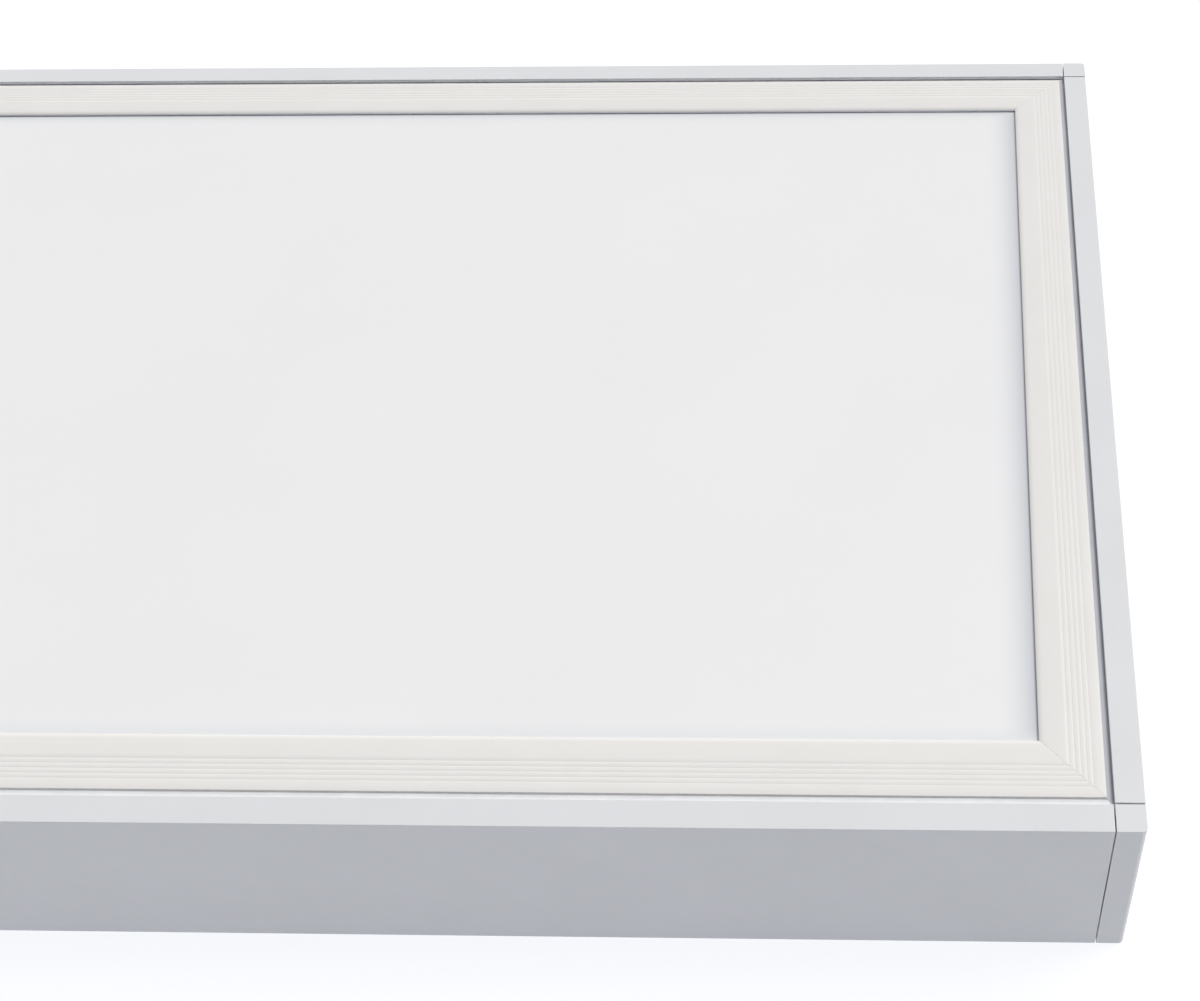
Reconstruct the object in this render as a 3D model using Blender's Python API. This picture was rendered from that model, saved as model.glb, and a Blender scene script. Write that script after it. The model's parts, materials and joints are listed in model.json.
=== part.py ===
"""A long, flat light table: an edge-lit panel held in a white box frame with square corner posts.

The frame stands on z = 0 with the origin under its middle. +X runs along the light, +Z up through
the diffuser. One end of the frame pulls off along +X, and the panel then slides out along +X.
Heights inside the frame are given as depths below the lip plane, the frame's highest face.
"""

import math

import bmesh
import bpy
from mathutils import Matrix, Vector

MM = 0.001

# Driving dimensions
LENGTH = 1205 * MM
WIDTH = 305 * MM
HEIGHT = 68 * MM
GAP = 0.3 * MM
PANEL_INSET = 5 * MM

# Frame rails and corner posts
WALL = 1.4 * MM
LIP_WIDTH = 7.6 * MM
LIP_THICKNESS = 1.2 * MM
LEDGE_DEPTH = 10.9 * MM
LEDGE_THICKNESS = 1.2 * MM
FLANGE_WIDTH = 14 * MM
RIB_WIDTH = 6.2 * MM
RIB_THICKNESS = 1.2 * MM
HOOK_LENGTH = 4 * MM
CHANNEL_BOTTOM = 16 * MM
CHANNEL_TOP = 46 * MM
FIXING_HOLE_RADIUS = 2.5 * MM
FIXING_SPACING = 300 * MM
POST_EDGE_RADIUS = 1.6 * MM
ARM_LENGTH = 30 * MM
ARM_THICKNESS = 3 * MM
GRUB_RADIUS = 1.9 * MM
GRUB_SOCKET_RADIUS = 1.05 * MM
GRUB_REACH = 18 * MM

# Bezel section, as distances in from the panel's edge and depths below the lip plane
FACE_START = 4.3 * MM
FACE_END = 20.75 * MM
FACE_BEND = 13.4 * MM
FACE_BEND_STEPS = 3
FACE_DEPTH = 0.24 * MM
FACE_EDGE_DEPTH = 1 * MM
FACE_UNDERSIDE = 1.35 * MM
RECESS_DEPTH = 1.5 * MM
SHOULDER = 7 * MM
SHOULDER_DEPTH = 2.8 * MM
WEB = 2.5 * MM
LEG_WIDTH = 7.5 * MM
LEG_TOP = 8.4 * MM
LEG_BOTTOM = 9.4 * MM

# Sheets, as (distance in from the panel's edge, top depth, bottom depth)
DIFFUSER = (7.3 * MM, 1.65 * MM, 3.65 * MM)
LIGHT_GUIDE = (5.2 * MM, 3.95 * MM, 6.95 * MM)
REFLECTOR = (5.2 * MM, 7.25 * MM, 7.75 * MM)
FOAM = (7.8 * MM, 8.05 * MM, 9.4 * MM)
BACK_PLATE = (1 * MM, 9.7 * MM, 10.5 * MM)

# Pieces in the bezel's cavity
STRIP_INSET = 2.8 * MM
STRIP_THICKNESS = 1 * MM
STRIP_LENGTH = 1135 * MM
CAVITY_TOP = 3.2 * MM
CAVITY_BOTTOM = 7.8 * MM
LED_COUNT = 40
LED_SIZE = (4 * MM, 1.1 * MM, 2.6 * MM)
KEY_LEG = 25 * MM
KEY_THICKNESS = 1.5 * MM

# Screws through the back plate into the bezel
SCREW_INSET = 5.1 * MM
SCREW_RADIUS = 1.3 * MM
SCREW_HOLE_RADIUS = 1.6 * MM
SCREW_HEAD_RADIUS = 2 * MM
SCREW_HEAD_HEIGHT = 1.6 * MM
SCREW_SOCKET_RADIUS = 1 * MM
SCREW_SOCKET_DEPTH = 0.96 * MM
SCREW_TIP_DEPTH = 8.1 * MM
DRIVER_SCREW_TIP_DEPTH = 9.75 * MM
LONG_SIDE_SCREWS = 4

# Driver under the back plate
DRIVER_LENGTH = 170 * MM
DRIVER_WIDTH = 42 * MM
DRIVER_HEIGHT = 26 * MM
DRIVER_WALL = 1.5 * MM
DRIVER_TOP = BACK_PLATE[2] + GAP
TAB_LENGTH = 9 * MM
TAB_WIDTH = 12 * MM
LID_RIM = 2 * MM
BOARD_LENGTH = 156 * MM
BOARD_WIDTH = 34 * MM
BOARD_THICKNESS = 1.6 * MM
BOARD_COMPONENTS = (
    # centre x, centre y, length, width, height
    (-62 * MM, 0, 12 * MM, 22 * MM, 10 * MM),
    (-42 * MM, 6 * MM, 14 * MM, 12 * MM, 14 * MM),
    (-12 * MM, 0, 26 * MM, 24 * MM, 17 * MM),
    (20 * MM, -8 * MM, 10 * MM, 10 * MM, 16 * MM),
    (20 * MM, 6 * MM, 10 * MM, 10 * MM, 16 * MM),
    (46 * MM, 0, 16 * MM, 20 * MM, 12 * MM),
)

# Terminal block with clamp levers, at the driver's -X end
POLES = 3
POLE_PITCH = 6 * MM
BLOCK_LENGTH = 22 * MM
BLOCK_HEIGHT = 13 * MM
POCKET_DEPTH = 4.5 * MM
POCKET_WALL = 1 * MM
LEVER_WIDTH = 4.4 * MM
LEVER_LENGTH = 16.5 * MM
LEVER_THICKNESS = 1.3 * MM
HUB_RADIUS = 1.9 * MM
HUB_INSET = 4 * MM
HUB_HEIGHT = 2.2 * MM
HUB_SWEEP = 240
HUB_STEPS = 10
PIN_RADIUS = 0.7 * MM
PIN_HOLE_RADIUS = 1 * MM
WIRE_HOLE_RADIUS = 1.7 * MM
WIRE_HOLE_LENGTH = 9 * MM

# Lead from the strips to the driver's +X end
LEAD_RADIUS = 2 * MM
LEAD_X = 130 * MM
GROMMET_RADIUS = 3.2 * MM
GROMMET_FLANGE = 5 * MM
LEAD_BEND = 12 * MM
LEAD_BEND_STEPS = 8
LEAD_ENTRY = 3 * MM

ROUND_SIDES = 16
SMALL_ROUND_SIDES = 12
ALONG_X = Matrix.Rotation(math.radians(90), 4, "Y")
ALONG_Y = Matrix.Rotation(math.radians(90), 4, "X")
CORNERS = (
    # name, side along X, side along Y, turn about +Z
    ("front_left", -1, -1, 0),
    ("front_right", 1, -1, 90),
    ("back_right", 1, 1, 180),
    ("back_left", -1, 1, 270),
)

# Derived sizes
PANEL_HALF = Vector((LENGTH / 2 - PANEL_INSET, WIDTH / 2 - PANEL_INSET, 0))
DRIVER_END = DRIVER_LENGTH / 2
BLOCK_WIDTH = POLES * POLE_PITCH + POCKET_WALL
BLOCK_X = -DRIVER_END - GAP
ARM_START = WALL + GAP

FINISHES = {
    # name: (colour, roughness, metallic)
    "white_powder_coat": ((0.86, 0.87, 0.88), 0.45, 0.0),
    "bezel_white": ((0.88, 0.87, 0.84), 0.4, 0.0),
    "opal_acrylic": ((0.93, 0.94, 0.95), 0.35, 0.0),
    "clear_acrylic": ((0.86, 0.9, 0.9), 0.15, 0.0),
    "reflector_film": ((0.95, 0.95, 0.95), 0.3, 0.0),
    "grey_foam": ((0.45, 0.46, 0.47), 0.9, 0.0),
    "steel_plate": ((0.74, 0.75, 0.76), 0.35, 0.8),
    "zinc_steel": ((0.66, 0.67, 0.69), 0.3, 1.0),
    "board_white": ((0.82, 0.83, 0.8), 0.5, 0.0),
    "board_green": ((0.1, 0.3, 0.16), 0.5, 0.0),
    "driver_plastic": ((0.9, 0.9, 0.89), 0.45, 0.0),
    "block_grey": ((0.55, 0.56, 0.58), 0.45, 0.0),
    "lever_orange": ((0.85, 0.35, 0.06), 0.4, 0.0),
    "cable_white": ((0.85, 0.85, 0.84), 0.5, 0.0),
    "black_rubber": ((0.04, 0.04, 0.04), 0.7, 0.0),
}


def clear_scene():
    for obj in list(bpy.data.objects):
        bpy.data.objects.remove(obj, do_unlink=True)


def make_finish(name):
    colour, roughness, metallic = FINISHES[name]
    material = bpy.data.materials.new(name)
    material.use_nodes = True
    shader = material.node_tree.nodes["Principled BSDF"]
    shader.inputs["Base Color"].default_value = (*colour, 1)
    shader.inputs["Roughness"].default_value = roughness
    shader.inputs["Metallic"].default_value = metallic
    material.diffuse_color = (*colour, 1)
    return material


def add_object(name, data, finish, parent=None, location=(0, 0, 0), turn=0):
    """Link a mesh or a curve as an object, turned about +Z by `turn` degrees."""
    obj = bpy.data.objects.new(name, data)
    bpy.context.scene.collection.objects.link(obj)
    obj.location = location
    obj.rotation_euler.z = math.radians(turn)
    obj.parent = parent
    if finish and not data.materials:
        data.materials.append(bpy.data.materials.get(finish) or make_finish(finish))
    return obj


def add_empty(name, location=(0, 0, 0)):
    return add_object(name, None, None, location=location)


def mesh_from(bm, name):
    bmesh.ops.recalc_face_normals(bm, faces=bm.faces)
    mesh = bpy.data.meshes.new(name)
    bm.to_mesh(mesh)
    bm.free()
    return mesh


def cell_range(values, low, high):
    return range(values.index(low), values.index(high))


def block_bmesh(solids, cuts=()):
    """The union of the boxes in `solids`, less the boxes in `cuts`, as one closed skin.

    A box is (low corner, high corner). The box faces cut space into cells, and a face is kept
    wherever a filled cell meets an empty one.
    """
    boxes = [tuple(tuple(round(c, 7) for c in corner) for corner in box) for box in (*solids, *cuts)]
    grid = [sorted({corner[axis] for box in boxes for corner in box}) for axis in range(3)]
    filled = set()
    for number, (low, high) in enumerate(boxes):
        cells = {
            (i, j, k)
            for i in cell_range(grid[0], low[0], high[0])
            for j in cell_range(grid[1], low[1], high[1])
            for k in cell_range(grid[2], low[2], high[2])
        }
        filled = filled | cells if number < len(solids) else filled - cells
    bm = bmesh.new()
    corners = {}

    def corner_vert(key):
        if key not in corners:
            corners[key] = bm.verts.new([grid[axis][key[axis]] for axis in range(3)])
        return corners[key]

    for cell in sorted(filled):
        for axis in range(3):
            across, up = (axis + 1) % 3, (axis + 2) % 3
            for side in (0, 1):
                beside = list(cell)
                beside[axis] += 2 * side - 1
                if tuple(beside) in filled:
                    continue
                ring = []
                for step_across, step_up in ((0, 0), (1, 0), (1, 1), (0, 1)):
                    key = list(cell)
                    key[axis] += side
                    key[across] += step_across
                    key[up] += step_up
                    ring.append(corner_vert(tuple(key)))
                bm.faces.new(ring)
    bmesh.ops.dissolve_limit(bm, angle_limit=math.radians(1), verts=bm.verts, edges=bm.edges)
    return bm


def block_mesh(name, solids, cuts=()):
    return mesh_from(block_bmesh(solids, cuts), name)


def turned_mesh(name, profile, sides=ROUND_SIDES, hexagonal=(), hollow=False, matrix=Matrix()):
    """A closed body turned about +Z from (radius, height) points.

    A flat cap closes each end, or with `hollow` the last ring joins the first. The rings whose
    number is in `hexagonal` are hexagons, for a socket: `sides` is then 12.
    """
    bm = bmesh.new()
    rings = []
    for number, (radius, height) in enumerate(profile):
        ring = []
        for step in range(sides):
            angle = 2 * math.pi * step / sides
            flat = math.cos(math.pi / 6) if number in hexagonal and step % 2 else 1
            reach = radius * flat
            ring.append(bm.verts.new((reach * math.cos(angle), reach * math.sin(angle), height)))
        rings.append(ring)
    for lower, upper in zip(rings, rings[1:] + rings[:1] if hollow else rings[1:]):
        for step in range(sides):
            after = (step + 1) % sides
            bm.faces.new((lower[step], lower[after], upper[after], upper[step]))
    if not hollow:
        bm.faces.new(rings[0])
        bm.faces.new(rings[-1])
    bm.transform(matrix)
    mesh = mesh_from(bm, name)
    mesh.shade_smooth()
    mesh.set_sharp_from_angle(angle=math.radians(40))
    return mesh


def drill(mesh, cutters):
    """Cut closed meshes out of `mesh`, and return the result."""
    body = add_object("drilled", mesh, None)
    tools = [add_object("cutter", cutter, None) for cutter in cutters]
    for tool in tools:
        tool.hide_render = True
        tool.display_type = "WIRE"
        modifier = body.modifiers.new("cut", "BOOLEAN")
        modifier.operation = "DIFFERENCE"
        modifier.solver = "EXACT"
        modifier.object = tool
    graph = bpy.context.evaluated_depsgraph_get()
    result = bpy.data.meshes.new_from_object(body.evaluated_get(graph))
    for obj in (body, *tools):
        bpy.data.objects.remove(obj, do_unlink=True)
    return result


def cylinder_mesh(radius, low, high, place, turn=Matrix(), sides=ROUND_SIDES):
    """A plain cylinder from `low` to `high` along its own axis, turned and then moved to `place`."""
    matrix = Matrix.Translation(place) @ turn
    return turned_mesh("cylinder", [(radius, low), (radius, high)], sides, matrix=matrix)


def from_top(depth):
    return HEIGHT - depth


# ---------------------------------------------------------------- frame

def rail_mesh(name, full_length, flange_inset):
    """A rail along its own X, with its outer face at y = 0 and the inside at +Y."""
    end = full_length / 2 - LIP_WIDTH - GAP
    flange_end = full_length / 2 - flange_inset
    hook = RIB_WIDTH - RIB_THICKNESS
    ledge_top = from_top(LEDGE_DEPTH)
    sections = [
        (end, 0, WALL, 0, HEIGHT),
        (end, 0, LIP_WIDTH, HEIGHT - LIP_THICKNESS, HEIGHT),
        (end, 0, LIP_WIDTH, ledge_top - LEDGE_THICKNESS, ledge_top),
        (end, 0, RIB_WIDTH, CHANNEL_TOP, CHANNEL_TOP + RIB_THICKNESS),
        (end, hook, RIB_WIDTH, CHANNEL_TOP - HOOK_LENGTH, CHANNEL_TOP + RIB_THICKNESS),
        (end, 0, RIB_WIDTH, CHANNEL_BOTTOM - RIB_THICKNESS, CHANNEL_BOTTOM),
        (end, hook, RIB_WIDTH, CHANNEL_BOTTOM - RIB_THICKNESS, CHANNEL_BOTTOM + HOOK_LENGTH),
        (flange_end, 0, FLANGE_WIDTH, 0, WALL),
    ]
    mesh = block_mesh(name, [((-x, y0, z0), (x, y1, z1)) for x, y0, y1, z0, z1 in sections])
    count = int(flange_end * 2 // FIXING_SPACING)
    first = -(count - 1) / 2 * FIXING_SPACING
    spots = [(first + i * FIXING_SPACING, (WALL + FLANGE_WIDTH) / 2, 0) for i in range(count)]
    return drill(mesh, [cylinder_mesh(FIXING_HOLE_RADIUS, -WALL, 2 * WALL, spot) for spot in spots])


def connector_mesh():
    """A corner post at its own origin, with arms that run inward along +X and +Y."""
    low, high = CHANNEL_BOTTOM + GAP, CHANNEL_TOP - GAP
    arm_end = LIP_WIDTH + ARM_LENGTH
    arm_side = ARM_START + ARM_THICKNESS
    solids = [
        ((0, 0, 0), (LIP_WIDTH, WALL, HEIGHT)),
        ((0, 0, 0), (WALL, LIP_WIDTH, HEIGHT)),
        ((0, 0, HEIGHT - LIP_THICKNESS), (LIP_WIDTH, LIP_WIDTH, HEIGHT)),
        ((0, 0, 0), (LIP_WIDTH, LIP_WIDTH, WALL)),
        ((0, 0, low), (LIP_WIDTH, LIP_WIDTH, high)),
        ((ARM_START, ARM_START, low), (arm_end, arm_side, high)),
        ((ARM_START, ARM_START, low), (arm_side, arm_end, high)),
    ]
    bm = block_bmesh(solids)
    outer = [e for e in bm.edges if all(abs(v.co.x) + abs(v.co.y) < GAP for v in e.verts)]
    bmesh.ops.bevel(bm, geom=outer, offset=POST_EDGE_RADIUS, segments=4, profile=0.5, affect="EDGES")
    mesh = mesh_from(bm, "corner_post")
    hole = GRUB_RADIUS + GAP
    return drill(mesh, [
        cylinder_mesh(hole, -ARM_THICKNESS, ARM_THICKNESS, place, turn, SMALL_ROUND_SIDES)
        for place, turn in grub_places()
    ])


def grub_places():
    """The middle of each arm's grub screw, with the turn that lays +Z along the screw."""
    across = ARM_START + ARM_THICKNESS / 2
    along = LIP_WIDTH + GRUB_REACH
    middle = (CHANNEL_BOTTOM + CHANNEL_TOP) / 2
    return [
        ((along, across, middle), Matrix.Rotation(math.radians(-90), 4, "X")),
        ((across, along, middle), ALONG_X),
    ]


def make_frame(frame, end_frame):
    long_rail = rail_mesh("long_rail", LENGTH, LIP_WIDTH + GAP)
    short_rail = rail_mesh("short_rail", WIDTH, FLANGE_WIDTH + GAP)
    rails = (
        ("front_rail", long_rail, (0, -WIDTH / 2, 0), 0, frame),
        ("right_rail", short_rail, (LENGTH / 2, 0, 0), 90, end_frame),
        ("back_rail", long_rail, (0, WIDTH / 2, 0), 180, frame),
        ("left_rail", short_rail, (-LENGTH / 2, 0, 0), 270, frame),
    )
    for name, mesh, place, turn, parent in rails:
        add_object(name, mesh, "white_powder_coat", parent, place, turn)

    post = connector_mesh()
    grub = turned_mesh(
        "grub_screw",
        [
            (GRUB_RADIUS, -ARM_THICKNESS / 2),
            (GRUB_RADIUS, ARM_THICKNESS / 2),
            (GRUB_SOCKET_RADIUS, ARM_THICKNESS / 2),
            (GRUB_SOCKET_RADIUS, 0),
        ],
        SMALL_ROUND_SIDES,
        hexagonal=(2, 3),
    )
    for corner, side_x, side_y, turn in CORNERS:
        parent = end_frame if side_x > 0 else frame
        place = (side_x * LENGTH / 2, side_y * WIDTH / 2, 0)
        post_object = add_object(f"{corner}_post", post, "white_powder_coat", parent, place, turn)
        for number, (spot, lay) in enumerate(grub_places(), start=1):
            screw = add_object(f"{corner}_grub_screw_{number}", grub, "zinc_steel", post_object, spot)
            screw.rotation_euler = lay.to_euler()


# ---------------------------------------------------------------- panel

def bezel_mesh(name, side_length, holes):
    """A bezel side along its own X, mitred at both ends, with its outer edge at y = 0."""
    section = [
        (0, RECESS_DEPTH),
        (FACE_START, RECESS_DEPTH),
        (FACE_START, FACE_DEPTH),
        (FACE_BEND, FACE_DEPTH),
    ]
    for step in range(1, FACE_BEND_STEPS + 1):
        part = step / FACE_BEND_STEPS
        drop = (FACE_EDGE_DEPTH - FACE_DEPTH) * part**2
        section.append((FACE_BEND + (FACE_END - FACE_BEND) * part, FACE_DEPTH + drop))
    section += [
        (FACE_END, FACE_UNDERSIDE),
        (SHOULDER, FACE_UNDERSIDE),
        (SHOULDER, SHOULDER_DEPTH),
        (WEB, SHOULDER_DEPTH),
        (WEB, LEG_TOP),
        (LEG_WIDTH, LEG_TOP),
        (LEG_WIDTH, LEG_BOTTOM),
        (0, LEG_BOTTOM),
    ]
    bm = bmesh.new()
    ends = []
    for side in (-1, 1):
        ends.append([
            bm.verts.new((side * (side_length / 2 - GAP / 2 - y), y, from_top(depth)))
            for y, depth in section
        ])
    for i in range(len(section)):
        after = (i + 1) % len(section)
        bm.faces.new((ends[0][i], ends[0][after], ends[1][after], ends[1][i]))
    bm.faces.new(ends[0])
    bm.faces.new(ends[1])
    mesh = mesh_from(bm, name)
    low, high = from_top(LEG_BOTTOM + GAP), from_top(LEG_TOP - GAP)
    spots = [(x, SCREW_INSET, 0) for x in holes]
    return drill(mesh, [cylinder_mesh(SCREW_HOLE_RADIUS, low, high, spot) for spot in spots])


def sheet_mesh(name, sheet):
    inset, top, bottom = sheet
    x, y = PANEL_HALF.x - inset, PANEL_HALF.y - inset
    return block_mesh(name, [((-x, -y, from_top(bottom)), (x, y, from_top(top)))])


def long_side_spots():
    pitch = 2 * PANEL_HALF.x / LONG_SIDE_SCREWS
    return [(i - (LONG_SIDE_SCREWS - 1) / 2) * pitch for i in range(LONG_SIDE_SCREWS)]


def plate_screw_spots():
    y = PANEL_HALF.y - SCREW_INSET
    spots = [(x, side * y) for side in (-1, 1) for x in long_side_spots()]
    return spots + [(side * (PANEL_HALF.x - SCREW_INSET), 0) for side in (-1, 1)]


def make_bezels(panel):
    long_side = bezel_mesh("long_bezel", 2 * PANEL_HALF.x, long_side_spots())
    short_side = bezel_mesh("short_bezel", 2 * PANEL_HALF.y, [0])
    sides = (
        ("front_bezel", long_side, (0, -PANEL_HALF.y, 0), 0),
        ("right_bezel", short_side, (PANEL_HALF.x, 0, 0), 90),
        ("back_bezel", long_side, (0, PANEL_HALF.y, 0), 180),
        ("left_bezel", short_side, (-PANEL_HALF.x, 0, 0), 270),
    )
    for name, mesh, place, turn in sides:
        add_object(name, mesh, "bezel_white", panel, place, turn)

    low, high = from_top(CAVITY_BOTTOM), from_top(CAVITY_TOP)
    near, far, leg = STRIP_INSET, STRIP_INSET + KEY_THICKNESS, STRIP_INSET + KEY_LEG
    legs = [((near, near, low), (leg, far, high)), ((near, near, low), (far, leg, high))]
    key = block_mesh("corner_key", legs)
    for corner, side_x, side_y, turn in CORNERS:
        place = (side_x * PANEL_HALF.x, side_y * PANEL_HALF.y, 0)
        add_object(f"{corner}_corner_key", key, "zinc_steel", panel, place, turn)


def make_sheets(panel):
    add_object("diffuser", sheet_mesh("diffuser", DIFFUSER), "opal_acrylic", panel)
    add_object("light_guide", sheet_mesh("light_guide", LIGHT_GUIDE), "clear_acrylic", panel)
    add_object("reflector", sheet_mesh("reflector", REFLECTOR), "reflector_film", panel)
    lead_spot = (LEAD_X, 0, 0)
    low, high = from_top(BACK_PLATE[2] + WALL), from_top(FOAM[1] - GAP / 2)
    lead_hole = cylinder_mesh(GROMMET_RADIUS + GAP, low, high, lead_spot)
    foam = drill(sheet_mesh("foam_sheet", FOAM), [lead_hole])
    add_object("foam_sheet", foam, "grey_foam", panel)
    spots = plate_screw_spots() + [(x, 0) for x in driver_screw_spots()]
    holes = [cylinder_mesh(SCREW_HOLE_RADIUS, low, high, (x, y, 0)) for x, y in spots]
    holes.append(cylinder_mesh(GROMMET_RADIUS + GAP, low, high, lead_spot))
    plate = drill(sheet_mesh("back_plate", BACK_PLATE), holes)
    add_object("back_plate", plate, "steel_plate", panel)


def make_led_strips(panel):
    low, high = from_top(CAVITY_BOTTOM), from_top(CAVITY_TOP)
    half = STRIP_LENGTH / 2
    back = STRIP_INSET + STRIP_THICKNESS
    solids = [((-half, STRIP_INSET, low), (half, back, high))]
    led_x, led_y, led_z = LED_SIZE
    middle = (low + high) / 2
    for number in range(LED_COUNT):
        x = (number - (LED_COUNT - 1) / 2) * STRIP_LENGTH / LED_COUNT
        led_low = (x - led_x / 2, STRIP_INSET, middle - led_z / 2)
        led_high = (x + led_x / 2, back + led_y, middle + led_z / 2)
        solids.append((led_low, led_high))
    strip = block_mesh("led_strip", solids)
    add_object("front_led_strip", strip, "board_white", panel, (0, -PANEL_HALF.y, 0), 0)
    add_object("back_led_strip", strip, "board_white", panel, (0, PANEL_HALF.y, 0), 180)


def screw_mesh(name, tip_depth, head_depth):
    """A socket screw that points up: its tip at `tip_depth`, its head's upper face at `head_depth`."""
    head = from_top(head_depth)
    bottom = head - SCREW_HEAD_HEIGHT
    profile = [
        (SCREW_SOCKET_RADIUS, bottom + SCREW_SOCKET_DEPTH),
        (SCREW_SOCKET_RADIUS, bottom),
        (SCREW_HEAD_RADIUS, bottom),
        (SCREW_HEAD_RADIUS, head),
        (SCREW_RADIUS, head),
        (SCREW_RADIUS, from_top(tip_depth)),
    ]
    return turned_mesh(name, profile, SMALL_ROUND_SIDES, hexagonal=(0, 1))


def make_plate_screws(panel):
    mesh = screw_mesh("plate_screw", SCREW_TIP_DEPTH, BACK_PLATE[2] + GAP)
    for number, (x, y) in enumerate(plate_screw_spots(), start=1):
        add_object(f"back_plate_screw_{number}", mesh, "zinc_steel", panel, (x, y, 0))


# ---------------------------------------------------------------- driver

def driver_screw_spots():
    """The tabs stand out at the driver's two ends, the -X one past the terminal block."""
    return [-DRIVER_END - GAP - BLOCK_LENGTH - TAB_LENGTH / 2, DRIVER_END + TAB_LENGTH / 2]


def make_driver(panel):
    top = from_top(DRIVER_TOP)
    bottom = top - DRIVER_HEIGHT
    end, side = DRIVER_END, DRIVER_WIDTH / 2
    tab = TAB_WIDTH / 2
    shelf = -end - GAP - BLOCK_LENGTH
    solids = [
        ((-end, -side, bottom), (end, side, top)),
        ((end, -tab, top - DRIVER_WALL), (end + TAB_LENGTH, tab, top)),
        ((shelf - TAB_LENGTH, -tab, top - DRIVER_WALL), (-end, tab, top)),
    ]
    inner_end, inner_side = end - DRIVER_WALL, side - DRIVER_WALL
    cavity = ((-inner_end, -inner_side, bottom), (inner_end, inner_side, top - DRIVER_WALL))
    screw_low, screw_high = top - 2 * DRIVER_WALL, top + DRIVER_WALL
    cutters = [
        cylinder_mesh(SCREW_HOLE_RADIUS, screw_low, screw_high, (x, 0, 0))
        for x in driver_screw_spots()
    ]
    lead_end = (end, 0, lead_height())
    reach = 2 * DRIVER_WALL
    cutters.append(cylinder_mesh(LEAD_RADIUS + GAP, -reach, reach, lead_end, ALONG_X))
    case = drill(block_mesh("driver_case", solids, [cavity]), cutters)
    add_object("driver_case", case, "driver_plastic", panel)

    lid_top = bottom - GAP
    lid_bottom = lid_top - DRIVER_WALL
    rim_end, rim_side, rim_top = inner_end - GAP, inner_side - GAP, lid_top + LID_RIM
    lid_solids = [
        ((-end, -side, lid_bottom), (end, side, lid_top)),
        ((-rim_end, -rim_side, lid_bottom), (rim_end, rim_side, rim_top)),
    ]
    hollow_end, hollow_side = rim_end - DRIVER_WALL, rim_side - DRIVER_WALL
    hollow = ((-hollow_end, -hollow_side, lid_top), (hollow_end, hollow_side, rim_top))
    lid = block_mesh("driver_lid", lid_solids, [hollow])
    add_object("driver_lid", lid, "driver_plastic", panel)

    board_x, board_y = BOARD_LENGTH / 2, BOARD_WIDTH / 2
    board_top = top - DRIVER_WALL - GAP
    board_low = board_top - BOARD_THICKNESS
    board = [((-board_x, -board_y, board_low), (board_x, board_y, board_top))]
    for x, y, length, width, height in BOARD_COMPONENTS:
        low_corner = (x - length / 2, y - width / 2, board_low - height)
        board.append((low_corner, (x + length / 2, y + width / 2, board_low)))
    add_object("driver_board", block_mesh("driver_board", board), "board_green", panel)

    mesh = screw_mesh("driver_screw", DRIVER_SCREW_TIP_DEPTH, DRIVER_TOP + DRIVER_WALL + GAP)
    for number, x in enumerate(driver_screw_spots(), start=1):
        add_object(f"driver_screw_{number}", mesh, "zinc_steel", panel, (x, 0, 0))


def pole_offsets():
    return [(pole - (POLES - 1) / 2) * POLE_PITCH for pole in range(POLES)]


def make_terminal_block(panel):
    """The block hangs under the driver's shelf, and its pockets and levers face down."""
    top = from_top(DRIVER_TOP + DRIVER_WALL + GAP)
    bottom = top - BLOCK_HEIGHT
    far = BLOCK_X - BLOCK_LENGTH
    side = BLOCK_WIDTH / 2
    ceiling = bottom + POCKET_DEPTH
    half = (POLE_PITCH - POCKET_WALL) / 2
    inner = BLOCK_X - DRIVER_WALL
    pockets = [((far, y - half, bottom), (inner, y + half, ceiling)) for y in pole_offsets()]
    hub = Vector((BLOCK_X - HUB_INSET, 0, bottom + HUB_HEIGHT))
    cutters = [
        cylinder_mesh(
            WIRE_HOLE_RADIUS, -DRIVER_WALL, WIRE_HOLE_LENGTH, (far, y, (ceiling + top) / 2),
            ALONG_X, SMALL_ROUND_SIDES,
        )
        for y in pole_offsets()
    ]
    reach = side + WALL
    cutters.append(cylinder_mesh(PIN_HOLE_RADIUS, -reach, reach, hub, ALONG_Y, SMALL_ROUND_SIDES))
    block = block_mesh("terminal_block", [((far, -side, bottom), (BLOCK_X, side, top))], pockets)
    add_object("terminal_block", drill(block, cutters), "block_grey", panel)
    pin = cylinder_mesh(PIN_RADIUS, -side, side, (0, 0, 0), ALONG_Y, SMALL_ROUND_SIDES)
    add_object("lever_pin", pin, "zinc_steel", panel, hub)

    lever = lever_mesh()
    for number, y in enumerate(pole_offsets(), start=1):
        add_object(f"clamp_lever_{number}", lever, "lever_orange", panel, hub + Vector((0, y, 0)))


def lever_mesh():
    """A lever about its own Y axis: a hub, and an arm from the hub's underside along -X."""
    outline = [(-LEVER_LENGTH, -HUB_RADIUS), (0, -HUB_RADIUS)]
    for step in range(1, HUB_STEPS):
        angle = math.radians(-90 + HUB_SWEEP * step / HUB_STEPS)
        outline.append((HUB_RADIUS * math.cos(angle), HUB_RADIUS * math.sin(angle)))
    arm_top = -HUB_RADIUS + LEVER_THICKNESS
    outline.append((-math.sqrt(HUB_RADIUS**2 - arm_top**2), arm_top))
    outline.append((-LEVER_LENGTH, arm_top))
    bm = bmesh.new()
    face = bm.faces.new([bm.verts.new((x, -LEVER_WIDTH / 2, z)) for x, z in outline])
    pushed = bmesh.ops.extrude_face_region(bm, geom=[face])["geom"]
    moved = [v for v in pushed if isinstance(v, bmesh.types.BMVert)]
    bmesh.ops.translate(bm, verts=moved, vec=(0, LEVER_WIDTH, 0))
    reach = LEVER_WIDTH
    pin_hole = cylinder_mesh(PIN_HOLE_RADIUS, -reach, reach, (0, 0, 0), ALONG_Y, SMALL_ROUND_SIDES)
    return drill(mesh_from(bm, "clamp_lever"), [pin_hole])


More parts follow.
